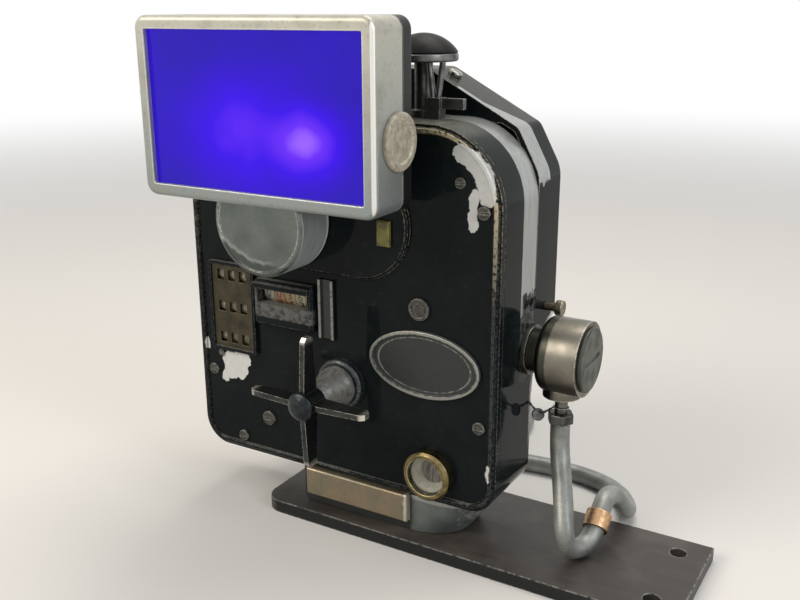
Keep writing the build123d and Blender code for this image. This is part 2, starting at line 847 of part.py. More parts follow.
nodes = {
    "mounting_shelf": shelf,
    "case_foot": foot,
    "case_tub": case_tub,
    "front_cover": front_cover,
    "rear_cover": rear_cover,
    "movement_block": movement,
    "strip_plate": strip_plate,
    "oval_badge": badge,
    "fare_frame": fare_frame,
    "fare_glass": fare_glass,
    "fare_drums": fare_drums,
    "window_rails": rails,
    "total_plate": total_plate,
    "total_frame": total_frame,
    "total_wheels": total_wheels,
    "dial_bezel": dial_bezel,
    "dial_glass": dial_glass,
    "dial_face": dial_face,
    "handle_flange": handle_flange,
    "handle_hub": handle_hub,
    "handle_arms": handle_arms,
    "handle_cap": handle_cap,
    "flag_hub": flag_hub,
    "flag_case": flag_case,
    "flag_bezel": flag_bezel,
    "flag_glass": flag_glass,
    "lamp_cap": lamp_cap,
    "stop_lug": stop_lug,
    "cover_screws": cover_screws,
    "ringed_plug": ringed_plug,
    "top_stem": top_stem,
    "top_ring": top_ring,
    "top_dome": top_dome,
    "fork_arm": fork_arm,
    "gable_bolts": gable_bolts,
    "side_bolt": side_bolt,
    "drive_flange": drive_flange,
    "drive_housing": drive_housing,
    "drive_cap": drive_cap,
    "union_neck": union_neck,
    "union_nut": union_nut,
    "drive_cable": drive_cable,
    "cable_coil": cable_coil,
    "cable_end_nut": end_nut,
    "cable_clip": cable_clip,
}

os.makedirs("parts", exist_ok=True)
for name, make in nodes.items():
    made = make()
    shape = Compound(children=made) if isinstance(made, list) else made
    export_step(shape, f"parts/{name}.step")
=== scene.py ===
import bmesh
import bpy
import math
from mathutils import Matrix, Vector


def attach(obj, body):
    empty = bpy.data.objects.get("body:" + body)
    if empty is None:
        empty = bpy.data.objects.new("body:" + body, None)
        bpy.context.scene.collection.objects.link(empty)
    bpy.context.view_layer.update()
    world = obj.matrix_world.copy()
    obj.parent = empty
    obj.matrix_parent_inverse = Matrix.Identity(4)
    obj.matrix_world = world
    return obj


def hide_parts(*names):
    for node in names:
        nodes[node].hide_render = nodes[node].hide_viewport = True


# A vintage mechanical taximeter with an illuminated flag box, on its mounting shelf.
# Metres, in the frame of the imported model: Z up, the cover's face in the plane Y = 0.
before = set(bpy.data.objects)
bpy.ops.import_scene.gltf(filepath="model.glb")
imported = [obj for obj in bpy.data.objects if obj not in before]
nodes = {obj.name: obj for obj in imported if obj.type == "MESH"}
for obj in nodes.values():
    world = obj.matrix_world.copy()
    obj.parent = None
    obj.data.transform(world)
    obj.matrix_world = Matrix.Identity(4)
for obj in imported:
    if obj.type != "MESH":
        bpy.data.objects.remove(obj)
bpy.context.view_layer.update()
mm = 0.001


# View, floor and light
# The camera stands where the photograph was taken from, a little above and to the right. The floor
# is a plain pale sheet that fades into the white room, lit by broad soft lamps.
camera_place = Vector((0.2953, -0.4238, 0.2980))
camera_azimuth = math.radians(30.8)
camera_pitch = math.radians(17.1)
camera_roll = math.radians(0.25)
focal_pixels = 957.0
image_pixels = 800.0

camera_data = bpy.data.cameras.new("camera")
camera_data.sensor_width = 36.0
camera_data.lens = camera_data.sensor_width * focal_pixels / image_pixels
camera_data.clip_start = 0.01
camera = bpy.data.objects.new("camera", camera_data)
turn = Matrix.Rotation(camera_azimuth, 4, "Z")
turn = turn @ Matrix.Rotation(math.pi / 2 - camera_pitch, 4, "X")
turn = turn @ Matrix.Rotation(-camera_roll, 4, "Z")
camera.matrix_world = Matrix.Translation(camera_place) @ turn
bpy.context.scene.collection.objects.link(camera)
bpy.context.scene.camera = camera
bpy.context.scene.view_settings.view_transform = "Standard"


def linear(code):
    """An sRGB colour such as "c8b48a" as linear red, green and blue, with an alpha of 1."""
    parts = [int(code[i:i + 2], 16) / 255 for i in (0, 2, 4)]
    parts = [c / 12.92 if c <= 0.04045 else ((c + 0.055) / 1.055) ** 2.4 for c in parts]
    return (*parts, 1.0)


def fill(socket, value):
    """Links an output to an input, or sets the input to a constant."""
    if isinstance(value, bpy.types.NodeSocket):
        socket.id_data.links.new(value, socket)
    else:
        socket.default_value = value


def connect(node, **inputs):
    """Fills a node's inputs by their names, with an underscore for each blank."""
    for name, value in inputs.items():
        fill(node.inputs[name.replace("_", " ")], value)


def add(tree, kind, *values, **named):
    """Adds a shader node and gives its first output in use, whose .node has the others.

    The values fill the inputs in use from the first down. Of the named ones, those with a capital
    are further inputs and the rest are the node's settings.
    """
    node = tree.nodes.new("ShaderNode" + kind)
    for name in filter(str.islower, named):
        setattr(node, name, named[name])
    for socket, value in zip([socket for socket in node.inputs if socket.enabled], values):
        fill(socket, value)
    connect(node, **{name: value for name, value in named.items() if not name.islower()})
    return next(socket for socket in node.outputs if socket.enabled)


def start(name, **inputs):
    """A new material with its shader's inputs filled by name: (material, tree, shader)."""
    material = bpy.data.materials.new(name)
    material.use_nodes = True
    shader = material.node_tree.nodes["Principled BSDF"]
    connect(shader, **inputs)
    return material, material.node_tree, shader


def new_piece(name, mesh, material):
    """Puts a finished bmesh into the scene as an object at the origin, shaded smooth."""
    data = bpy.data.meshes.new(name)
    mesh.to_mesh(data)
    mesh.free()
    data.materials.append(material)
    data.shade_smooth()
    piece = bpy.data.objects.new(name, data)
    bpy.context.scene.collection.objects.link(piece)
    return piece


def seen(tree):
    """1 for the rays that show a thing as it is: straight, in a mirror or through glass."""
    path = add(tree, "LightPath").node.outputs
    either = add(tree, "Math", path["Is Camera Ray"], path["Is Glossy Ray"], operation="MAXIMUM")
    return add(tree, "Math", either, path["Is Transmission Ray"], operation="MAXIMUM")


# Matt white paper: evenly pale where the object stands, plain white further off.
plain_white = (1.0, 1.0, 1.0, 1.0)
floor_material, tree, shader = start("pale_floor_paper", Base_Color=linear("d6d4cf"), Roughness=0.9)
place = add(tree, "TexCoord").node.outputs["Object"]
far_off = add(tree, "VectorMath", place, operation="LENGTH")
fade = add(tree, "MapRange", far_off, From_Min=0.5, From_Max=2.6, interpolation_type="SMOOTHSTEP")
share = add(tree, "Math", seen(tree), fade, operation="MULTIPLY")
white = add(tree, "Emission", plain_white, 1.0)
connect(tree.nodes["Material Output"], Surface=add(tree, "MixShader", share, shader.outputs[0], white))
mesh = bmesh.new()
bmesh.ops.create_grid(mesh, x_segments=1, y_segments=1, size=6.0)
floor = new_piece("floor", mesh, floor_material)

world = bpy.data.worlds.new("pale_room")
bpy.context.scene.world = world
world.use_nodes = True
tree = world.node_tree
room = add(tree, "Background", linear("e4e6ea"), 0.5)
paper = add(tree, "Background", plain_white, 1.0)
connect(tree.nodes["World Output"], Surface=add(tree, "MixShader", seen(tree), room, paper))

# columns: name, place, aimed at, width, height, watts, colour
lamps = [
    ("lamp_front", (-0.75, -1.05, 1.05), (0.0, 0.0, 0.12), 0.9, 0.9, 17.0, "fff6ea"),
    ("lamp_right", (1.25, -0.25, 0.75), (0.05, 0.0, 0.14), 0.4, 0.9, 6.0, "f2f6ff"),
    ("lamp_top", (0.10, 0.45, 1.40), (0.0, 0.05, 0.15), 1.0, 0.6, 11.0, "fff8f0"),
]
for name, place, aim, wide, high, watts, tint in lamps:
    data = bpy.data.lights.new(name, "AREA")
    data.shape = "RECTANGLE"
    data.size = wide
    data.size_y = high
    data.energy = watts
    data.color = linear(tint)[:3]
    lamp = bpy.data.objects.new(name, data)
    lamp.location = place
    lamp.rotation_euler = (Vector(aim) - Vector(place)).to_track_quat("-Z", "Y").to_euler()
    lamp.visible_camera = False
    bpy.context.scene.collection.objects.link(lamp)


# Mounting shelf
# A thick fibre board, painted brown-black on both sides and rubbed pale along its front edge. The
# meter's foot stands on it, and its right end has two screw holes.
def finish_node(name, material, edge=0.3):
    """Gives a CAD node its finish, with its edges broken by the given millimetres."""
    node = nodes[name]
    node.data.materials.clear()
    node.data.materials.append(material)
    node.data.shade_smooth()
    weld = node.modifiers.new("weld", "WELD")
    weld.merge_threshold = 0.01 * mm
    flat = node.modifiers.new("flat", "DECIMATE")
    flat.decimate_type = "DISSOLVE"
    flat.angle_limit = math.radians(1.0)
    bevel = node.modifiers.new("edge", "BEVEL")
    bevel.width = edge * mm
    bevel.segments = 3
    bevel.limit_method = "ANGLE"
    bevel.angle_limit = math.radians(30.0)
    even = node.modifiers.new("even", "WEIGHTED_NORMAL")
    even.weight = 100


def in_millimetres(tree, stretch=(1.0, 1.0, 1.0)):
    """The piece's own coordinates in millimetres, divided by the stretch of a drawn-out pattern."""
    place = add(tree, "TexCoord").node.outputs["Object"]
    return add(tree, "Mapping", place, Scale=tuple(1000.0 / part for part in stretch))


def patches(tree, place, size, low, high, most=1.0, detail=5.0, **inputs):
    """A mask of ragged patches of a size in mm: most where a noise is high, 0 where it is low."""
    noise = add(tree, "TexNoise", place, Scale=1 / size, Detail=detail, **inputs)
    return add(tree, "MapRange", noise, From_Min=low, From_Max=high, To_Max=most)


def overlap(tree, mask, *others):
    """The mask of what all the given masks share."""
    for other in others:
        mask = add(tree, "Math", mask, other, operation="MULTIPLY")
    return mask


def rubbed_edge(tree, place, reach, coarse=1.6, least=0.35, most=0.6):
    """A broken mask of the outer edges, up to the given reach in mm, where the finish has rubbed off."""
    rounded = add(tree, "Bevel", Radius=reach * mm, samples=6)
    true = add(tree, "NewGeometry").node.outputs["Normal"]
    agree = add(tree, "VectorMath", rounded, true, operation="DOT_PRODUCT")
    edge = add(tree, "MapRange", agree, From_Min=0.995, From_Max=0.93)
    return overlap(tree, edge, patches(tree, place, coarse, least, most, detail=4.0))


def lay(shader, mask, colour, **others):
    """Lays a colour over a material where the mask is 1, with values for others of its inputs."""
    colour = linear(colour) if isinstance(colour, str) else colour
    for name, value in {"Base Color": colour, **others}.items():
        socket = shader.inputs[name]
        below = socket.links[0].from_socket if socket.links else socket.default_value
        kind = "RGBA" if socket.type == "RGBA" else "FLOAT"
        fill(socket, add(shader.id_data, "Mix", mask, below, value, data_type=kind))


# Brown-black paint over board: matt, with long streaks of dust wiped along it and soft dull patches.
board, tree, shader = start("painted_fibre_board", Base_Color=linear("262422"), Specular_IOR_Level=0.3)
place = in_millimetres(tree)
front_edge_y = -10.7
wiped = add(tree, "TexNoise", in_millimetres(tree, stretch=(14.0, 1.0, 1.0)), Scale=1 / 3.0, Detail=5.0)
y = add(tree, "SeparateXYZ", place).node.outputs["Y"]
front = add(tree, "Math", y, front_edge_y, operation="LESS_THAN")
lay(shader, wiped, "45403b")
lay(shader, patches(tree, place, 26.0, 0.45, 0.75, 0.5, detail=4.0), "655d54")
lay(shader, front, "151716")
lay(shader, rubbed_edge(tree, place, 1.2, coarse=2.2, least=0.38, most=0.55), "9b9a93")
connect(shader, Roughness=add(tree, "MapRange", wiped, To_Min=0.28, To_Max=0.55),
        Normal=add(tree, "Bump", Height=wiped, Strength=0.25, Distance=0.15 * mm))
finish_node("mounting_shelf", board, edge=0.6)


# Foot and bare strip
# A short iron casting under the case, painted dark blue-grey and rubbed bright at its edges. A bare
# bronze strip lies over its front.
def metal(name, body, dull, bright, smooth, rough, patch=9.0, grain=(1.0, 1.0, 1.0), rub=0.6, solid=1.0,
          spots=0.35, pits=0.03):
    """A worn metal: body colour with dull patches and dark spots, bright rubbed edges, fine grain.

    It is as metallic as solid says, and its roughness runs from smooth to rough.
    """
    material, tree, shader = start(name, Base_Color=linear(body), Metallic=solid)
    place = in_millimetres(tree)
    clouds = patches(tree, place, patch, 0.35, 0.68)
    lines = add(tree, "TexNoise", in_millimetres(tree, stretch=grain), Scale=1 / 0.7, Detail=3.0)
    specks = patches(tree, place, 1.8, 0.56, 0.72, spots, detail=6.0, Roughness=0.65)
    lay(shader, clouds, dull)
    lay(shader, specks, "1d1a16")
    lay(shader, rubbed_edge(tree, place, rub), bright)
    gloss = add(tree, "Math", clouds, lines, operation="ADD")
    height = add(tree, "Math", lines, specks, operation="SUBTRACT")
    gloss = add(tree, "MapRange", gloss, From_Min=0.4, From_Max=1.4, To_Min=smooth, To_Max=rough)
    bump = add(tree, "Bump", Height=height, Strength=0.5, Distance=pits * mm)
    connect(shader, Roughness=gloss, Normal=bump)
    return material


def reopen(material):
    """A material's tree and shader, and its place in millimetres, to lay more over it."""
    tree = material.node_tree
    return tree, tree.nodes["Principled BSDF"], in_millimetres(tree)


def ragged_edge(tree, film, wander, along, low, high, most=1.0):
    """A mask from 0 to most where along goes from low to high, and whose edge wanders with a film."""
    along = add(tree, "Math", film, wander, along, operation="MULTIPLY_ADD")
    return add(tree, "MapRange", along, From_Min=low, From_Max=high, To_Max=most)


# Painted cast iron: dark, faintly blue, half-matt, sandy to the touch, grey metal at the edges.
foot_iron = metal("painted_cast_iron", "575d5c", "6c706c", "b1b0a7", 0.35, 0.6, patch=12.0, rub=1.3,
                  solid=0.25, pits=0.12)
# Left of the strip's end the foot is laid near black as the strip's painted shadow; beside it the
# paint is worn grey and scuffed at the right end, and the ledge is painted lighter as a highlight.
strip_end_x, scuffed_x, ledge_z = 50.5, 66.0, 28.0
tree, shader, place = reopen(foot_iron)
x, y, z = add(tree, "SeparateXYZ", place).node.outputs
film = add(tree, "TexNoise", place, Scale=1 / 4.0, Detail=6.0, Roughness=0.7)
right = add(tree, "MapRange", x, From_Min=scuffed_x, From_Max=scuffed_x + 22.0, To_Min=-0.2, To_Max=0.12)
right = add(tree, "Math", film, right, operation="ADD")
right = add(tree, "MapRange", right, From_Min=0.5, From_Max=0.62, To_Max=0.7)
# Painted highlight along the top ledge, laid with the scuffs at the right end.
ledge = add(tree, "MapRange", z, From_Min=ledge_z, From_Max=ledge_z + 0.8, To_Max=0.6)
lay(shader, add(tree, "Math", right, ledge, operation="MAXIMUM"), "a9aaa3")
# Painted shadow of the strip: near black left of its end.
lay(shader, ragged_edge(tree, film, 4.0, x, strip_end_x + 2.5, strip_end_x, most=0.85), "17191a")
# Bare bronze sheet: tan with grey-green tarnish, brushed along its length.
strip_bronze = metal("bare_bronze_strip", "90816a", "777260", "cdbd9d", 0.32, 0.55, patch=14.0,
                     grain=(14.0, 1.0, 1.0), rub=0.9, solid=0.75)
# Its right end is bent over and rubbed bright.
bent_x = 48.0
tree, shader, place = reopen(strip_bronze)
x = add(tree, "SeparateXYZ", place).node.outputs["X"]
film = add(tree, "TexNoise", place, Scale=1 / 3.0, Detail=5.0)
lay(shader, ragged_edge(tree, film, 2.4, x, bent_x, bent_x + 1.0, most=0.8), "cfc9b8")
finish_node("case_foot", foot_iron, edge=0.8)
finish_node("strip_plate", strip_bronze, edge=0.4)


# Case: tub, rear cover and its bolts
# Pressed steel, stove-enamelled glossy black. The rear cover is screwed to the tub and has a bolt on
# each slope of its gable, and the works hang on the tub's rear wall.
def stove_enamel(name, marks=None, least=0.42, most=0.6):
    """Glossy black stove enamel over steel, with dulled patches, dust, rubbed edges and flakes gone.

    Marks gives two more masks, of rubbed and of flaked places, or None for one that is missing.
    """
    material, tree, shader = start(name, Base_Color=linear("0a0f10"), IOR=1.16)
    place = in_millimetres(tree)
    clouds = add(tree, "TexNoise", place, Scale=1 / 30.0, Detail=5.0, Distortion=0.6)
    film = add(tree, "TexNoise", place, Scale=1 / 5.0, Detail=6.0, Roughness=0.7)
    gloss = add(tree, "Math", clouds, film, operation="MULTIPLY")
    gloss = add(tree, "MapRange", gloss, From_Min=0.12, From_Max=0.4, To_Min=0.03, To_Max=0.1)
    connect(shader, Roughness=gloss)
    lay(shader, clouds, "1a2021")
    lay(shader, add(tree, "MapRange", film, From_Min=0.54, From_Max=0.8, To_Max=0.25), "3e3e39")
    # Dust lies on the flat tops.
    facing = add(tree, "TexCoord").node.outputs["Normal"]
    up = add(tree, "SeparateXYZ", facing).node.outputs["Z"]
    up = add(tree, "MapRange", up, From_Min=0.84, To_Max=1.1)
    lay(shader, overlap(tree, up, film), "87867b", Roughness=0.9)
    # Grey metal shows at rubbed edges low down and creamy old filler higher up.
    bare = rubbed_edge(tree, place, 0.9, 1.5, least, most)
    worn, flaked = marks(tree, place) if marks else (None, None)
    if worn:
        bare = add(tree, "Math", bare, worn, operation="MAXIMUM")
    z = add(tree, "SeparateXYZ", place).node.outputs["Z"]
    filler_z = 150.0
    creamy = add(tree, "MapRange", z, From_Min=filler_z, From_Max=filler_z + 55.0)
    rubbed = add(tree, "Mix", creamy, linear("696966"), linear("b1a68b"), data_type="RGBA")
    lay(shader, bare, rubbed, Roughness=0.42, Metallic=0.7)
    height = add(tree, "TexNoise", place, Scale=1 / 1.5, Detail=2.0)
    if flaked:
        primer = add(tree, "Mix", film, linear("b4b6b4"), linear("d8d8d4"), data_type="RGBA")
        lay(shader, flaked, primer, Roughness=0.6)
        height = add(tree, "Math", flaked, -6.0, height, operation="MULTIPLY_ADD")
    connect(shader, Normal=add(tree, "Bump", Height=height, Strength=0.35, Distance=0.02 * mm))
    return material


def hollow_rim(tree, place):
    """No rubbed places, and the pale rim round the hollow in the case's right side as flaked."""
    hollow_y, hollow_z, side_x, reach = 86.0, 89.0, 100.5, 45.0
    offset = add(tree, "VectorMath", place, (0.0, hollow_y, hollow_z), operation="SUBTRACT")
    x, y, z = add(tree, "SeparateXYZ", offset).node.outputs
    above = add(tree, "Math", z, 0.0, operation="MAXIMUM")
    ahead = add(tree, "Math", y, 0.0, operation="MINIMUM")
    out = add(tree, "VectorMath", add(tree, "CombineXYZ", Y=ahead, Z=above), operation="LENGTH")
    film = add(tree, "TexNoise", place, Scale=1 / 3.0, Detail=5.0)
    rim = ragged_edge(tree, film, 2.0, out, reach, reach - 0.6)
    low = add(tree, "MapRange", z, From_Min=-36.0, From_Max=-20.0)
    side = add(tree, "Math", x, side_x, operation="GREATER_THAN")
    return None, overlap(tree, rim, low, side)


enamel = stove_enamel("black_stove_enamel")
case_enamel = stove_enamel("worn_case_enamel_and_reflection", hollow_rim, least=0.36, most=0.52)

# A painted reflection of a pale plate behind the case lies on the tub's rear half as a bright metallic
# band, from its top right shoulder down the side to a ragged end. Past the joint it runs on to the rear
# cover's shoulder; below its end the side is only scuffed.
joint_y, band_y, band_end_z, scuffed_z = 45.0, 26.2, 154.0, 92.0
shoulder_x, shoulder_z, slope_z = 62.0, 213.0, 238.0
tree, shader, place = reopen(case_enamel)
x, y, z = add(tree, "SeparateXYZ", place).node.outputs
ragged = add(tree, "TexNoise", place, Scale=1 / 4.0, Detail=5.0)
ahead = ragged_edge(tree, ragged, 0.8, y, band_y, band_y + 0.5)
shoulder = add(tree, "Math", ragged, 12.0, z, operation="MULTIPLY_ADD")
shoulder = add(tree, "Math", shoulder, shoulder_z, operation="GREATER_THAN")
wide = add(tree, "MapRange", z, From_Min=slope_z, From_Max=slope_z + 10.0, To_Min=15.0, To_Max=3.5)
reach = add(tree, "Math", shoulder, wide, joint_y + 0.2, operation="MULTIPLY_ADD")
behind = add(tree, "Math", y, reach, operation="LESS_THAN")
# The gable's front, which lies in the joint, stays black.
off_joint = add(tree, "Math", y, joint_y, operation="SUBTRACT")
off_joint = add(tree, "Math", off_joint, operation="ABSOLUTE")
off_joint = add(tree, "Math", off_joint, 0.06, operation="GREATER_THAN")
right = add(tree, "Math", ragged, 20.0, x, operation="MULTIPLY_ADD")
right = add(tree, "Math", right, shoulder_x, operation="GREATER_THAN")
deep = overlap(tree, ahead, behind, off_joint, right)
narrow = add(tree, "Math", y, band_y + 2.0, operation="LESS_THAN")
lowest = add(tree, "Math", narrow, 11.0, z, operation="MULTIPLY_ADD")
above = ragged_edge(tree, ragged, 9.0, lowest, band_end_z, band_end_z + 1.0)
scuffed = add(tree, "MapRange", ragged, From_Min=0.46, From_Max=0.58, To_Max=0.6)
least = add(tree, "MapRange", z, From_Min=scuffed_z, From_Max=scuffed_z + 20.0)
streaks = add(tree, "TexNoise", in_millimetres(tree, stretch=(1.0, 1.0, 12.0)), Scale=1 / 2.5, Detail=4.0)
reflection_colour = add(tree, "Mix", streaks, linear("8c8f8d"), linear("b9bbb8"), data_type="RGBA")
lay(shader, overlap(tree, scuffed, deep, least), "6f716d", Metallic=0.5, Roughness=0.45)
# The painted reflection, in a bright metallic colour.
lay(shader, overlap(tree, above, deep), reflection_colour, Metallic=0.65, Roughness=0.3)
# Nickel-plated steel: grey-white with yellowing dull patches, polished where hands and rags reach.
nickel = metal("worn_nickel_plate", "a3a19a", "77766c", "d9d6cc", 0.16, 0.38, patch=7.0)
# Oiled steel and brass works: only seen through slots.
works = metal("oiled_steel_works", "6b675d", "4a463d", "9a968b", 0.3, 0.5)
finish_node("case_tub", case_enamel, edge=0.8)
finish_node("rear_cover", case_enamel, edge=1.0)
finish_node("gable_bolts", nickel)
finish_node("movement_block", works)

# Slotted pan-head screws: four hold the rear cover and two the works in the tub.
screw_r, screw_high, slot_half, slot_deep = 4.2, 2.0, 0.5, 0.8
# Their places, and the turns of their slots in radians.
rear_places = [(-74.0, 75.0, 212.0, 0.5), (74.0, 75.0, 212.0, 1.9), (-86.0, 75.0, 142.0, 2.6),
               (86.0, 75.0, 142.0, 1.1), (-62.0, 45.0, 50.0, 0.2), (62.0, 45.0, 50.0, 2.1)]
mesh = bmesh.new()
for middle_x, rear_y, middle_z, turned in rear_places:
    # The head's section as (radius, height), spun about its axis; a slot is cut and sunk across it.
    head = bmesh.new()
    section = [(0.0, screw_high), (screw_r * 0.55, screw_high * 0.93), (screw_r * 0.9, screw_high * 0.6),
               (screw_r, 0.0), (screw_r, -0.3)]
    verts = [head.verts.new((radius * mm, 0.0, high * mm)) for radius, high in section]
    edges = [head.edges.new((verts[i], verts[i + 1])) for i in range(len(verts) - 1)]
    bmesh.ops.spin(head, geom=verts + edges, cent=(0, 0, 0), axis=(0, 0, 1), angle=2 * math.pi, steps=32,
                   use_merge=True)
    bmesh.ops.remove_doubles(head, verts=head.verts, dist=0.01 * mm)
    for side in (-slot_half - 0.06, -slot_half, slot_half, slot_half + 0.06):
        bmesh.ops.bisect_plane(head, geom=head.verts[:] + head.edges[:] + head.faces[:], plane_no=(1, 0, 0),
                               plane_co=(side * mm, 0, 0))
    for vert in head.verts:
        if abs(vert.co.x) < (slot_half + 0.03) * mm and vert.co.z > 0.5 * mm:
            vert.co.z = (screw_high - slot_deep) * mm
    bmesh.ops.recalc_face_normals(head, faces=head.faces[:])
    place = Matrix.Translation((middle_x * mm, rear_y * mm, middle_z * mm))
    place = place @ Matrix.Rotation(-math.pi / 2, 4, "X") @ Matrix.Rotation(turned, 4, "Z")
    bmesh.ops.transform(head, matrix=place, verts=head.verts)
    data = bpy.data.meshes.new("head")
    head.to_mesh(data)
    head.free()
    mesh.from_mesh(data)
    bpy.data.meshes.remove(data)
rear_screws = new_piece("rear_cover_screws", mesh, nickel)
rear_screws.data.set_sharp_from_angle(angle=math.radians(35))
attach(rear_screws, "meter")


# Front cover
# The pressed front plate with its double bead and its obround boss, enamelled like the case. The
# bead's crest is rubbed to the metal, and flakes of enamel are gone down to the pale primer.
def away_from(tree, place, centre, scale=(1.0, 1.0, 1.0)):
    """The distance from a centre in millimetres, with each axis multiplied by its scale."""
    offset = add(tree, "VectorMath", place, centre, operation="SUBTRACT")
    offset = add(tree, "VectorMath", offset, scale, operation="MULTIPLY")
    return add(tree, "VectorMath", offset, operation="LENGTH")


def cover_chips(tree, place):
    """Masks of the rubbed bead crest and of the flaked places, drawn in millimetres on the plate."""
    crest_y, bead_top_y, middle_z, rim_r, face_y = -1.05, -2.2, 136.0, 93.0, 0.2
    x, y, z = add(tree, "SeparateXYZ", place).node.outputs
    # Below the boss only the very crest is rubbed through, as a thin line.
    thin = add(tree, "MapRange", z, From_Min=172.0, From_Max=150.0, To_Max=0.42)
    crest = add(tree, "Math", y, thin, operation="ADD")
    crest = add(tree, "MapRange", crest, From_Min=crest_y, From_Max=crest_y - 0.3)
    below = add(tree, "Math", y, bead_top_y, operation="GREATER_THAN")
    out = away_from(tree, place, (0.0, 0.0, middle_z))
    rim = add(tree, "Math", out, rim_r, operation="GREATER_THAN")
    # The right side is rubbed most, and more so higher up.
    specks = add(tree, "TexNoise", place, Scale=1 / 2.2, Detail=5.0)
    lean = add(tree, "Math", z, 0.35, x, operation="MULTIPLY_ADD")
    lean = add(tree, "MapRange", lean, From_Min=20.0, From_Max=150.0, To_Min=-0.14, To_Max=0.08)
    specks = add(tree, "Math", specks, lean, operation="ADD")
    specks = add(tree, "MapRange", specks, From_Min=0.42, From_Max=0.56)
    fade = add(tree, "MapRange", z, From_Min=140.0, From_Max=200.0, To_Min=0.55)
    worn = overlap(tree, crest, below, fade, rim, specks)
    # Each flake is a run of strokes: from, to, half-width. A band inside the top right bead with a
    # tongue below it, a patch under the totaliser, and a chip at each side.
    strokes = [
        ((78.0, 228.0), (85.0, 225.0), 4.6), ((85.0, 225.0), (91.5, 217.5), 5.2),
        ((91.5, 217.5), (93.8, 207.0), 5.2), ((86.5, 208.0), (85.3, 197.0), 2.6),
        ((85.3, 197.0), (86.0, 191.5), 3.2), ((-80.5, 88.5), (-69.0, 90.5), 5.2),
        ((-79.0, 82.0), (-72.0, 84.0), 6.0), ((-84.5, 76.0), (-83.0, 81.0), 2.4),
        ((97.0, 52.0), (97.5, 60.0), 1.2), ((-97.0, 94.0), (-97.0, 99.0), 1.3),
    ]
    ragged = add(tree, "TexNoise", place, Scale=1 / 4.5, Detail=5.0).node.outputs["Color"]
    ragged = add(tree, "VectorMath", ragged, (0.5, 0.5, 0.5), operation="SUBTRACT")
    point = add(tree, "VectorMath", ragged, (5.0, 5.0, 5.0), place, operation="MULTIPLY_ADD")
    point = add(tree, "VectorMath", point, (1.0, 0.0, 1.0), operation="MULTIPLY")
    flaked = None
    for low, high, half in strokes:
        run = (high[0] - low[0], 0.0, high[1] - low[1])
        offset = add(tree, "VectorMath", point, (low[0], 0.0, low[1]), operation="SUBTRACT")
        along = add(tree, "VectorMath", offset, run, operation="DOT_PRODUCT")
        along = add(tree, "Math", along, run[0] ** 2 + run[2] ** 2, operation="DIVIDE", use_clamp=True)
        near = add(tree, "VectorMath", run, along, operation="SCALE")
        away = add(tree, "VectorMath", offset, near, operation="DISTANCE")
        inside = add(tree, "Math", half, away, operation="SUBTRACT")
        flaked = add(tree, "Math", flaked, inside, operation="MAXIMUM") if flaked else inside
    flaked = add(tree, "MapRange", flaked, From_Min=-0.1, From_Max=0.25)
    facing = add(tree, "Math", y, face_y, operation="LESS_THAN")
    return worn, overlap(tree, flaked, facing)


cover_enamel = stove_enamel("chipped_stove_enamel", cover_chips)
finish_node("front_cover", cover_enamel, edge=0.4)

# Screws and plug: steel heads painted over with the cover, rubbed to bare metal on their rims.
screw_steel = metal("painted_screw_steel", "33342f", "4b4a44", "a7a59b", 0.3, 0.5, patch=3.0, rub=0.7,
                    solid=0.6)
finish_node("cover_screws", screw_steel, edge=0.3)
finish_node("ringed_plug", screw_steel, edge=0.3)


# Oval badge
# A cast oval plate on the cover, blackened all over. Its sunk field is plain, and its rim and the
# fine raised line inside it are rubbed bright.
def stripe(tree, value, middle, outer, inner):
    """A mask of 1 where a value is nearer to a middle than the inner limit, and 0 past the outer."""
    off = add(tree, "Math", value, middle, operation="SUBTRACT")
    off = add(tree, "Math", off, operation="ABSOLUTE")
    return add(tree, "MapRange", off, From_Min=outer, From_Max=inner)


badge_x, badge_z, badge_a, badge_b, badge_rim = 58.0, 112.0, 34.0, 19.0, 2.2
badge_metal, tree, shader = start("blackened_cast_badge", Base_Color=linear("0e1312"))
place = in_millimetres(tree)
field_scale = (1 / (badge_a - badge_rim), 0.0, 1 / (badge_b - badge_rim))
out = away_from(tree, place, (badge_x, 0.0, badge_z), field_scale)
specks = add(tree, "TexNoise", place, Scale=1 / 2.4, Detail=6.0)
rim = ragged_edge(tree, specks, 0.10, out, 1.05, 1.09)
# The raised line just inside the rim is rubbed in places.
broken = add(tree, "MapRange", specks, From_Min=0.38, From_Max=0.6, To_Min=0.1, To_Max=0.75)
line = overlap(tree, stripe(tree, out, 0.90, 0.022, 0.010), broken)
lay(shader, specks, "202624")
lay(shader, add(tree, "Math", rim, line, operation="MAXIMUM"), "8b8c85", Metallic=0.75)
height = add(tree, "Math", line, specks, operation="ADD")
connect(shader, Roughness=add(tree, "MapRange", specks, To_Min=0.22, To_Max=0.5),
        Normal=add(tree, "Bump", Height=height, Strength=0.5, Distance=0.25 * mm))
finish_node("oval_badge", badge_metal, edge=0.5)


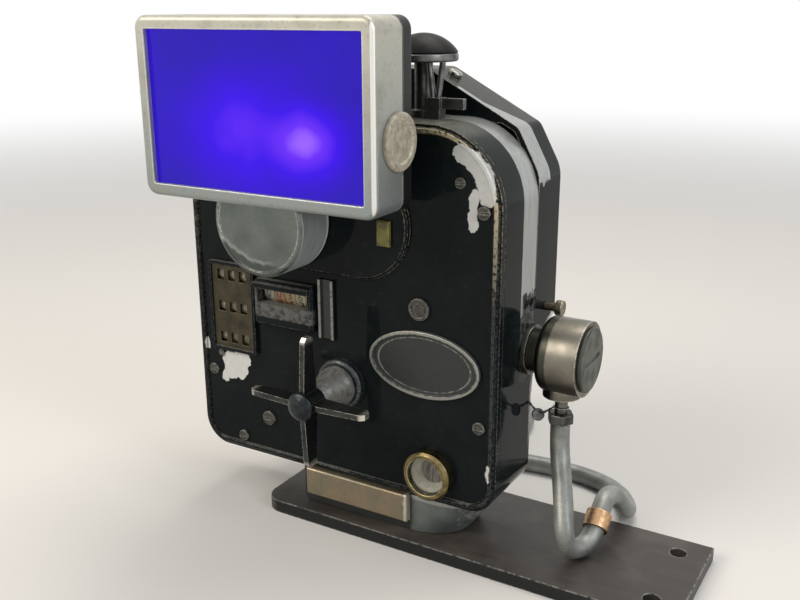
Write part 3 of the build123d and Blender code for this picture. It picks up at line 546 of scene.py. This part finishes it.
# Fare window
# A hooded steel frame over a slot, with a pane behind it and five figure drums on one axle. The
# drums are enamelled aluminium, cream and yellowed, with plain black figures; two rails stand beside.
def bare_sill(tree, place):
    """The bare grey sill below the fare window's slot, and the slot's left end, as rubbed places."""
    slot_left_x, sill_top_z, sill_low_z, slot_high = -51.8, 132.8, 123.6, 9.0
    x, y, z = add(tree, "SeparateXYZ", place).node.outputs
    specks = add(tree, "TexNoise", place, Scale=1 / 3.0, Detail=5.0)
    ragged = add(tree, "Math", specks, 1.2, z, operation="MULTIPLY_ADD")
    # The slot's left end is rubbed as high as the slot.
    left = add(tree, "Math", x, slot_left_x, operation="LESS_THAN")
    lowered = add(tree, "Math", left, -slot_high, ragged, operation="MULTIPLY_ADD")
    below = add(tree, "MapRange", lowered, From_Min=sill_top_z, From_Max=sill_top_z - 0.6)
    above = add(tree, "MapRange", ragged, From_Min=sill_low_z, From_Max=sill_low_z + 0.8)
    patchy = add(tree, "MapRange", specks, From_Min=0.35, From_Max=0.6, To_Min=0.25, To_Max=0.8)
    return overlap(tree, below, above, patchy), None


def mottled(name, size, first, second, detail=5.0, **inputs):
    """A material of two colours that run into each other in soft patches of a size in mm."""
    material, tree, shader = start(name, Base_Color=linear(first), **inputs)
    lay(shader, add(tree, "TexNoise", in_millimetres(tree), Scale=1 / size, Detail=detail), second)
    return material


def figure_on_drum(sheet, text, high, middle_x, axis_y, axis_z, radius, turned):
    """Wraps a plain figure round a drum whose axis runs along X, and joins it to the sheet of figures."""
    words = bpy.data.curves.new("figure", "FONT")
    words.body = text
    words.align_x = "CENTER"
    words.align_y = "CENTER"
    words.size = high * mm * 1.4
    words.resolution_u = 4
    holder = bpy.data.objects.new("figure", words)
    flat = bpy.data.meshes.new_from_object(holder)
    mesh = bmesh.new()
    mesh.from_mesh(flat)
    bpy.data.objects.remove(holder)
    for side in (0.0, -0.25, 0.25):
        bmesh.ops.bisect_plane(mesh, geom=mesh.verts[:] + mesh.edges[:] + mesh.faces[:],
                               plane_co=(0, side * high * mm, 0), plane_no=(0, 1, 0))
    for vert in mesh.verts:
        angle = turned + vert.co.y / (radius * mm)
        away_y, away_z = radius * mm * math.cos(angle), radius * mm * math.sin(angle)
        vert.co = (middle_x * mm + vert.co.x, axis_y * mm - away_y, axis_z * mm + away_z)
    mesh.to_mesh(flat)
    mesh.free()
    sheet.from_mesh(flat)
    bpy.data.meshes.remove(flat)


# Yellowed enamel on the drums: white, amber, tan, cream and white again, each a little dirty.
drums_left, drum_pitch = -53.0, 7.6
drum_paint, tree, shader = start("yellowed_drum_enamel", Base_Color=linear("efece3"), Roughness=0.42)
place = in_millimetres(tree)
x = add(tree, "SeparateXYZ", place).node.outputs["X"]
for drum, shade in ((1, "e8a664"), (2, "e4c08a"), (3, "e6e0b4"), (4, "e4e1d6")):
    lay(shader, add(tree, "Math", x, drums_left + drum_pitch * drum, operation="GREATER_THAN"), shade)
lay(shader, patches(tree, place, 2.5, 0.45, 0.75, 0.22), "6d624e")
figure_ink = mottled("black_figure_ink", 1.2, "0c0c0c", "3b3630", detail=4.0, Roughness=0.5)

# Flat window glass: clear, with a glossy face and a little dust.
pane, tree, shader = start("dusty_window_glass")
tree.nodes.remove(shader)
clear = add(tree, "BsdfTransparent", linear("f8f8f5"))
gloss = add(tree, "BsdfGlossy", plain_white, 0.04)
dust = add(tree, "BsdfDiffuse", linear("b9b6ab"))
dusty = patches(tree, in_millimetres(tree), 6.0, 0.4, 0.75, 0.18)
glass = add(tree, "MixShader", add(tree, "Fresnel", 1.22), add(tree, "MixShader", dusty, clear, dust), gloss)
connect(tree.nodes["Material Output"], Surface=glass)
finish_node("fare_frame", stove_enamel("sill_worn_enamel", bare_sill), edge=0.3)
finish_node("fare_glass", pane, edge=0.1)
finish_node("fare_drums", drum_paint, edge=0.3)

# A figure stands this much proud of its drum.
figure_proud = 0.03
slot_z, drum_r, drum_axis_y = 136.6, 9.0, 11.86
mesh = bmesh.new()
for drum, shown in enumerate((0, 0, 3, 6, 0)):
    middle_x = drums_left + drum_pitch * (drum + 0.5)
    for step in range(10):
        figure_on_drum(mesh, str((shown - step) % 10), 5.2, middle_x, drum_axis_y, slot_z,
                       drum_r + figure_proud, math.radians(36 * step - 4))
bmesh.ops.recalc_face_normals(mesh, faces=mesh.faces[:])
fare_figures = new_piece("fare_drum_figures", mesh, figure_ink)
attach(fare_figures, "meter")

# The rails' crests are bright nickel and the strip between them is painted over.
rail_metal, tree, shader = start("rail_nickel_and_paint", Base_Color=linear("0d0e0f"))
place = in_millimetres(tree)
y = add(tree, "SeparateXYZ", place).node.outputs["Y"]
specks = add(tree, "TexNoise", place, Scale=1 / 2.0, Detail=5.0)
crest = add(tree, "MapRange", y, From_Min=-1.3, From_Max=-1.9)
patch = add(tree, "MapRange", specks, From_Min=0.3, From_Max=0.5, To_Min=0.45)
lay(shader, overlap(tree, crest, patch), "7b7e7a", Metallic=0.9)
connect(shader, Roughness=add(tree, "MapRange", specks, To_Min=0.15, To_Max=0.45))
finish_node("window_rails", rail_metal, edge=0.3)


# Totaliser
# Nine small count wheels show through slots in an olive-brown brass plate, held by a painted frame.
# Each wheel is pale enamel with plain black figures.
total_brass = metal("olive_brass_plate", "413a28", "2b291e", "84774f", 0.34, 0.6, patch=8.0, rub=0.5,
                    solid=0.6, spots=0.6)
wheel_paint = mottled("pale_wheel_enamel", 2.0, "b9b39c", "7d745c", Roughness=0.45)
finish_node("total_plate", total_brass, edge=0.25)
finish_node("total_frame", enamel, edge=0.3)
finish_node("total_wheels", wheel_paint, edge=0.2)
total_x, total_z, wheel_pitch_x, wheel_pitch_z, wheel_r, wheel_y = -74.0, 124.0, 8.3, 19.8, 5.8, 6.8
mesh = bmesh.new()
for wheel, count in enumerate((4, 1, 7, 2, 9, 5, 3, 8, 6)):
    row, column = divmod(wheel, 3)
    middle_x = total_x + (column - 1) * wheel_pitch_x
    middle_z = total_z + (1 - row) * wheel_pitch_z
    for step in (-1, 0, 1):
        figure_on_drum(mesh, str((count + step) % 10), 3.4, middle_x, wheel_y, middle_z,
                       wheel_r + figure_proud, math.radians(-50 * step))
bmesh.ops.recalc_face_normals(mesh, faces=mesh.faces[:])
wheel_figures = new_piece("total_wheel_figures", mesh, figure_ink)
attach(wheel_figures, "meter")


# Dial window
# A turned brass ring screwed into the cover holds a small round glass. Behind it a pale ring and a
# grey card with upright marks show how the clock stands.
ring_brass = metal("worn_ring_brass", "8c7c54", "565036", "efe2b4", 0.2, 0.45, patch=6.0, rub=1.0, spots=0.5)
card, tree, shader = start("grey_dial_card", Base_Color=linear("33302f"), Roughness=0.5)
upright = in_millimetres(tree, stretch=(1.0, 1.0, 7.0))
lay(shader, patches(tree, upright, 1.6, 0.42, 0.56, detail=3.0), "8a8580")
finish_node("dial_bezel", ring_brass, edge=0.4)
finish_node("dial_glass", pane, edge=0.1)
finish_node("dial_face", card, edge=0.1)
dial_x, dial_z = 62.0, 48.0
pale_ring = mottled("pale_enamel_ring", 3.0, "ecebe4", "a9a89e", Roughness=0.35)
# The ring's section, as (radius, depth) in mm, spun about the window's axis.
mesh = bmesh.new()
section = [(10.8, -3.2), (10.8, 3.6), (7.4, 3.6), (7.6, 2.8), (9.9, -3.2)]
verts = [mesh.verts.new(((dial_x + radius) * mm, depth * mm, dial_z * mm)) for radius, depth in section]
edges = [mesh.edges.new((verts[i], verts[(i + 1) % len(verts)])) for i in range(len(verts))]
bmesh.ops.spin(mesh, geom=verts + edges, cent=(dial_x * mm, 0, dial_z * mm), axis=(0, 1, 0),
               angle=2 * math.pi, steps=48, use_merge=True)
bmesh.ops.recalc_face_normals(mesh, faces=mesh.faces[:])
reflector = new_piece("dial_pale_ring", mesh, pale_ring)
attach(reflector, "meter")


# Cross handle
# A nickelled cross handle on a conical hub sets the meter's work. Its four deep blades have gone
# dark, and their edges and tips are polished by use; the bright tips are also a painted highlight on
# their lit ends. The hub is stained.
handle_x, handle_z, blade_long = 4.0, 90.5, 38.0
blade_nickel = metal("darkened_blade_nickel", "464a49", "2b2d2b", "bdbbb1", 0.18, 0.42, patch=8.0, rub=0.7,
                     solid=0.9, spots=0.6)
tree, shader, place = reopen(blade_nickel)
out = away_from(tree, place, (handle_x, 0.0, handle_z), scale=(1.0, 0.0, 1.0))
# Bright tips: polished, and also a painted highlight on the blades' lit ends.
lay(shader, add(tree, "MapRange", out, From_Min=blade_long - 4.0, From_Max=blade_long - 1.2), "d2cfc4")
hub_nickel = metal("stained_hub_nickel", "a5a49e", "66645d", "dedbd0", 0.22, 0.45, patch=4.5, rub=0.7,
                   spots=0.7, solid=0.6)
# The cap's nickel has gone dark blue-grey, with bright specks left, and so has the flange's.
cap_nickel = metal("darkened_cap_nickel", "2d3336", "191c1e", "c4c5c0", 0.16, 0.36, patch=3.5, rub=0.5,
                   solid=0.7, spots=0.6)
flange_nickel = metal("darkened_flange_nickel", "43474a", "24282a", "cfcec8", 0.2, 0.4, patch=3.5, rub=1.3,
                      solid=0.7, spots=0.6)
finish_node("handle_hub", hub_nickel, edge=0.4)
finish_node("handle_arms", blade_nickel, edge=0.5)
finish_node("handle_cap", cap_nickel, edge=0.6)
finish_node("handle_flange", flange_nickel, edge=0.4)


# Flag: hub, lamp box, sign glass and lamp cap
# The flag is a flat lit box on a polished hub that turns on the boss. Its case is sheet metal with a
# dull silver finish, its bezel is a rolled frame, and the blue sign glass glows with painted lamp light.
polished_hub = metal("polished_hub_nickel", "6d7472", "575e5b", "e4e4da", 0.1, 0.26, patch=26.0, rub=1.1,
                     spots=0.25)
# A painted dark reflection lies on its face low on the left, below a painted highlight along its edge,
# and its side is dull behind the rim.
hub_face_y, hub_back_y, reflection_line_z = -28.9, -7.2, 164.0
tree, shader, place = reopen(polished_hub)
x, y, z = add(tree, "SeparateXYZ", place).node.outputs
film = add(tree, "TexNoise", place, Scale=1 / 5.0, Detail=5.0)
line = add(tree, "Math", x, -0.55, 145.0, operation="MULTIPLY_ADD")
line = add(tree, "Math", line, reflection_line_z, 7.0, operation="SMOOTH_MAX")
high = add(tree, "Math", z, line, operation="SUBTRACT")
high = add(tree, "Math", film, 6.0, high, operation="MULTIPLY_ADD")
below = add(tree, "MapRange", high, From_Min=3.2, From_Max=1.6, To_Max=0.75)
left = add(tree, "MapRange", x, From_Min=-18.0, From_Max=-27.0, To_Max=0.25)
side = add(tree, "MapRange", y, From_Min=hub_face_y, From_Max=hub_face_y + 0.6)
front = add(tree, "Math", 1.0, side, operation="SUBTRACT")
# Painted dark reflection, low on the face.
lay(shader, overlap(tree, below, front), "464b48")
# Painted highlight along the reflection's edge, on the left.
lay(shader, overlap(tree, stripe(tree, high, 3.2, 2.0, 0.2), left, front), "c6ccc8")
turned = add(tree, "TexNoise", in_millimetres(tree, stretch=(9.0, 1.0, 9.0)), Scale=1 / 2.0, Detail=3.0)
dull = add(tree, "Mix", turned, linear("7f8886"), linear("b9bfbd"), data_type="RGBA")
rim = add(tree, "MapRange", y, From_Min=hub_back_y, From_Max=hub_back_y + 0.4, To_Max=0.9)
dull = add(tree, "Mix", rim, dull, linear("e4e6e4"), data_type="RGBA")
lay(shader, side, dull, Metallic=0.3, Roughness=0.45)
finish_node("flag_hub", polished_hub, edge=0.6)


def silvered(name, painted_from=None):
    """Dull silvered sheet, warm above and cooler below, painted dark behind the given depth in mm."""
    material, tree, shader = start(name, Base_Color=linear("878f90"), Metallic=0.55)
    place = in_millimetres(tree)
    x, y, z = add(tree, "SeparateXYZ", place).node.outputs
    clouds = add(tree, "TexNoise", place, Scale=1 / 16.0, Detail=5.0)
    film = add(tree, "TexNoise", place, Scale=1 / 2.2, Detail=6.0)
    lay(shader, add(tree, "MapRange", z, From_Min=200.0, From_Max=285.0), "b3b1a4")
    lay(shader, add(tree, "MapRange", clouds, From_Min=0.42, From_Max=0.7, To_Max=0.6), "8c8a7d")
    lay(shader, add(tree, "MapRange", film, From_Min=0.56, From_Max=0.76, To_Max=0.35), "4f4b41")
    if painted_from is not None:
        lay(shader, ragged_edge(tree, film, 0.8, y, painted_from, painted_from + 0.3), "1f1f1e")
    # The edges are rubbed bright enough to paint in their highlights too, and a painted highlight runs
    # all the way up the frame's right corner.
    corner_x, frame_y = 54.4, -44.6
    corner_highlight = add(tree, "MapRange", x, From_Min=corner_x, From_Max=corner_x + 0.5, To_Max=0.85)
    ahead = add(tree, "Math", y, frame_y, operation="LESS_THAN")
    worn = rubbed_edge(tree, place, 1.2, least=0.2, most=0.42)
    worn = add(tree, "Math", worn, overlap(tree, corner_highlight, ahead), operation="MAXIMUM")
    lay(shader, worn, "f2f0ea")
    connect(shader, Roughness=add(tree, "MapRange", clouds, To_Min=0.3, To_Max=0.55),
            Normal=add(tree, "Bump", Height=film, Strength=0.4, Distance=0.05 * mm))
    return material


finish_node("flag_case", silvered("silvered_box_sheet", painted_from=-20.8), edge=0.8)
finish_node("flag_bezel", silvered("silvered_bezel"), edge=0.5)

# Blue glass that glows with painted lamp light: deep blue at its rim, violet-white where the lamp
# inside the box would stand behind it.
sign_glass, tree, shader = start("lit_blue_sign_glass", Base_Color=linear("0c0440"), Roughness=0.12,
                                 Emission_Strength=1.0, Specular_IOR_Level=0.15)
place = in_millimetres(tree)
milk = add(tree, "TexNoise", place, Scale=1 / 24.0, Detail=3.0)
milk = add(tree, "MapRange", milk, To_Min=0.0, To_Max=0.24)
# Painted glows of the lamp behind the glass: place, reach and power.
glows = [((19.0, 0.0, 233.0), 36.0, 0.5), ((-12.0, 0.0, 236.0), 62.0, 0.4), ((-46.0, 0.0, 238.0), 55.0, 0.2)]
lit = None
for spot, reach, power in glows:
    away = away_from(tree, place, spot, scale=(1.0, 0.0, 1.25))
    glow = add(tree, "MapRange", away, From_Min=reach, From_Max=0.0, To_Max=power,
               interpolation_type="SMOOTHSTEP")
    lit = add(tree, "Math", lit, glow, operation="ADD") if lit else glow
lit = add(tree, "Math", lit, milk, operation="ADD", use_clamp=True)
ramp = add(tree, "ValToRGB", lit).node
ramp.color_ramp.elements[0].color = linear("22169a")
ramp.color_ramp.elements[1].color = linear("b77cff")
for spot, shade in ((0.25, "2e0bc4"), (0.5, "3a04e6"), (0.75, "6a2bf5")):
    ramp.color_ramp.elements.new(spot).color = linear(shade)
connect(shader, Emission_Color=ramp.outputs["Color"])
finish_node("flag_glass", sign_glass, edge=0.2)

# The round cap over the lamp holder, rusted through its silver paint.
rusted_cap = metal("rusted_lamp_cap", "b3ac9a", "918672", "e2dccb", 0.45, 0.7, patch=3.0, rub=1.1, solid=0.1,
                   spots=0.6, pits=0.15)
finish_node("lamp_cap", rusted_cap, edge=0.7)
# The stop lug on the boss keeps some of its yellow paint.
lug_paint = metal("yellowed_lug_brass", "7c7536", "4d4a30", "b5ad6e", 0.4, 0.6, patch=4.0, solid=0.3)
finish_node("stop_lug", lug_paint, edge=0.4)


# Post, ring, dome and forked arm
# A turned steel post on the case carries a ring and a black dome. The forked arm beside it, of bent
# strip, locks the flag.
turned_steel = metal("grey_turned_steel", "767675", "4f4f4c", "bdbab0", 0.3, 0.5, patch=6.0,
                     grain=(1.0, 1.0, 0.3))
dark_steel = metal("blackened_arm_steel", "5c5d5a", "3a3a38", "b5b2a8", 0.28, 0.5, patch=5.0, rub=0.8,
                   spots=0.6)
# Matt black paint on the dome, dusty and uneven.
dome_paint, tree, shader = start("black_dome_paint", Base_Color=linear("060708"), IOR=1.2)
film = add(tree, "TexNoise", in_millimetres(tree), Scale=1 / 4.0, Detail=6.0)
lay(shader, film, "181918")
connect(shader, Roughness=add(tree, "MapRange", film, To_Min=0.3, To_Max=0.55),
        Normal=add(tree, "Bump", Height=film, Strength=0.4, Distance=0.08 * mm))
finish_node("top_stem", dark_steel, edge=0.4)
finish_node("top_ring", turned_steel, edge=0.5)
finish_node("top_dome", dome_paint, edge=0.6)
finish_node("fork_arm", turned_steel, edge=0.4)


# Side bolt and drive
# The drive comes in at the right side: a flanged neck, a turned drum with an end cap that has a
# screwdriver slot, and a union below it for the cable. Bare metal, yellowed like old lacquer.
bolt_brass = metal("dulled_bolt_brass", "8d8676", "625b49", "e0d6b9", 0.25, 0.5, patch=4.0, rub=0.7,
                   spots=0.6)
drum_steel = metal("lacquered_drum_steel", "7f7b70", "68655c", "cfccc2", 0.28, 0.45, patch=14.0,
                   grain=(0.25, 1.0, 1.0), rub=0.8, spots=0.25)
# A painted dark reflection darkens the drum's end at the case, above the union, with a ragged edge.
dark_reflection_x, union_top_z = 120.4, 92.0
tree, shader, place = reopen(drum_steel)
x, y, z = add(tree, "SeparateXYZ", place).node.outputs
film = add(tree, "TexNoise", place, Scale=1 / 3.0, Detail=5.0)
painted = ragged_edge(tree, film, 1.6, x, dark_reflection_x, dark_reflection_x - 0.8, most=0.85)
high = add(tree, "Math", z, union_top_z, operation="GREATER_THAN")
lay(shader, overlap(tree, painted, high), "34362f")
flange_steel = metal("dark_flange_steel", "6c6d66", "45463f", "c4c1b6", 0.3, 0.5, patch=6.0, rub=0.9,
                     spots=0.5)
cap_paint = metal("worn_green_black_cap", "454840", "33352f", "9c9a8e", 0.3, 0.5, patch=7.0, rub=0.8,
                  solid=0.4)
finish_node("side_bolt", bolt_brass, edge=0.4)
finish_node("drive_flange", flange_steel, edge=0.5)
finish_node("drive_housing", drum_steel, edge=0.6)
finish_node("drive_cap", cap_paint, edge=0.5)
finish_node("union_neck", flange_steel, edge=0.3)
finish_node("union_nut", dark_steel, edge=0.4)


# Seal wire
# Twisted iron wire ties the union to the case, and a lead seal is pressed flat over its ends. It is
# stiff: it runs once round the union's neck and through the hollow's edge.
def bent_tube(name, route, radius, steps, round_steps, material):
    """A closed round tube bent smoothly along a route of points in mm, as a curve object."""
    line = bpy.data.curves.new(name, "CURVE")
    line.dimensions = "3D"
    line.resolution_u = steps
    line.bevel_depth = radius * mm
    line.bevel_resolution = round_steps
    line.use_fill_caps = True
    line.materials.append(material)
    bend = line.splines.new("NURBS")
    bend.points.add(len(route) - 1)
    for point, place in zip(bend.points, route):
        point.co = (place[0] * mm, place[1] * mm, place[2] * mm, 1.0)
    bend.order_u = 3
    bend.use_endpoint_u = True
    tube = bpy.data.objects.new(name, line)
    bpy.context.scene.collection.objects.link(tube)
    return tube


neck_x, neck_y, wire_z, wire_r, neck_loop = 122.0, 40.0, 86.0, 0.45, 4.2
# Where the wire leaves the neck, how far it runs from there and how far it hangs down on its way.
wire_x, wire_y, run_x, run_y, wire_sag = 117.2, 37.4, -15.9, 4.6, 4.5
wire_iron = metal("dull_seal_wire", "8d8f8c", "5a5a56", "d5d3ca", 0.3, 0.5, patch=2.0, rub=0.2)
for strand, name in enumerate(("seal_wire_a", "seal_wire_b")):
    route = []
    # Only the first strand goes round the neck.
    for step in range(0 if strand else 13):
        share = step / 12
        angle = math.radians(200 + 320 * share)
        route.append((neck_x + neck_loop * math.cos(angle), neck_y + neck_loop * math.sin(angle),
                      wire_z + (0.5 - share) * 1.2))
    for step in range(17):
        share = step / 16
        twist = 2 * math.pi * 3 * share + math.pi * strand
        sag = -wire_sag * math.sin(math.pi * share)
        route.append((wire_x + run_x * share, wire_y + run_y * share + wire_r * math.cos(twist),
                      wire_z - 1.0 + sag + wire_r * math.sin(twist)))
    wire = bent_tube(name, route, wire_r, 4, 3, wire_iron)
    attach(wire, "meter")

lead = metal("pressed_lead_seal", "8b8c8a", "5f605e", "b9b9b4", 0.4, 0.6, patch=2.0, rub=0.4, solid=0.7)
seal_r, seal_high, seal_x, seal_y, seal_z = 3.6, 2.2, 108.8, 39.6, 78.8
mesh = bmesh.new()
bmesh.ops.create_cone(mesh, segments=32, radius1=seal_r * mm, radius2=seal_r * mm, depth=seal_high * mm,
                      cap_ends=True)
rims = [edge for edge in mesh.edges if edge.calc_face_angle(0) > 1.0]
bmesh.ops.bevel(mesh, geom=rims, offset=0.7 * mm, offset_type="OFFSET", affect="EDGES", segments=3,
                profile=0.5, material=-1)
place = Matrix.Translation((seal_x * mm, seal_y * mm, seal_z * mm))
place = place @ Matrix.Rotation(0.6, 4, "Z") @ Matrix.Rotation(1.35, 4, "X")
bmesh.ops.transform(mesh, matrix=place, verts=mesh.verts)
seal = new_piece("lead_seal", mesh, lead)
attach(seal, "meter")


# Drive cable
# A flexible steel sleeve with the turning core inside, 11 mm thick and about 1.2 m long. It hangs
# from the drive's union, turns up sharply on the shelf, passes over the rear edge and ends in a
# flat coil behind the case. It is held by the union nut, a copper band and its end nut.
cable_width = 11.0
cable_points = [
    (122.0, 40.0, 77.2), (122.0, 40.0, 65.5), (124.8, 35.8, 54.4), (129.4, 28.2, 44.6),
    (133.8, 19.8, 35.8), (136.8, 13.8, 27.6), (138.0, 13.0, 20.8), (140.2, 16.4, 15.2),
    (142.9, 22.2, 13.3), (145.3, 28.8, 14.3), (146.6, 36.2, 19.4), (146.3, 45.4, 26.6),
    (146.0, 54.6, 30.4), (147.0, 63.2, 28.4), (149.0, 71.6, 20.6), (150.4, 81.0, 10.4),
    (148.0, 93.0, 5.5), (139.0, 107.0, 5.5), (122.0, 117.0, 5.5), (98.0, 120.5, 5.5),
    (70.0, 118.5, 5.5), (46.0, 111.0, 5.5),
]
# The put-away turns: an even clockwise spiral inwards, whose end rises to lie on the turns.
centre_x, centre_y = -15.0, 160.0
outer_turn = 71.8
inner_turn = 43.0
coil_from = math.radians(-58.0)
coil_through = math.radians(932.0)
coil_steps = 40
lift_from = 35
lift_each = 2.2
for step in range(coil_steps):
    share = step / coil_steps
    angle = coil_from - coil_through * share
    radius = outer_turn + (inner_turn - outer_turn) * share
    lift = max(0.0, step - lift_from) * lift_each
    cable_points.append((centre_x + radius * math.cos(angle), centre_y + radius * math.sin(angle),
                         cable_width / 2 + lift))
cable_points += [(-15.0, 203.0, 16.4), (2.0, 203.0, 18.3), (15.0, 203.0, 18.5)]

# Grey sleeve, smooth to the eye: chalky and dark smears along it, dirt in its fine grain.
sleeve, tree, shader = start("grey_flexible_sleeve", Base_Color=linear("6e716d"), Metallic=0.35)
place = in_millimetres(tree)
clouds = add(tree, "TexNoise", place, Scale=1 / 12.0, Detail=5.0)
grain = add(tree, "TexNoise", place, Scale=1 / 1.1, Detail=5.0)
lay(shader, add(tree, "MapRange", clouds, From_Min=0.35, From_Max=0.68), "959690")
lay(shader, add(tree, "MapRange", grain, From_Min=0.55, From_Max=0.75, To_Max=0.5), "3a3d3b")
connect(shader, Roughness=add(tree, "MapRange", clouds, To_Min=0.3, To_Max=0.5),
        Normal=add(tree, "Bump", Height=grain, Strength=0.4, Distance=0.06 * mm))
cable = bent_tube("flexible_drive_cable", cable_points, cable_width / 2, 10, 10, sleeve)
copper = metal("scratched_copper_band", "c8a680", "967656", "f8e8d2", 0.25, 0.45, patch=3.0, spots=0.3)
finish_node("cable_clip", copper, edge=0.3)
finish_node("cable_end_nut", drum_steel, edge=0.4)
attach(cable, "meter")
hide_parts("drive_cable", "cable_coil")
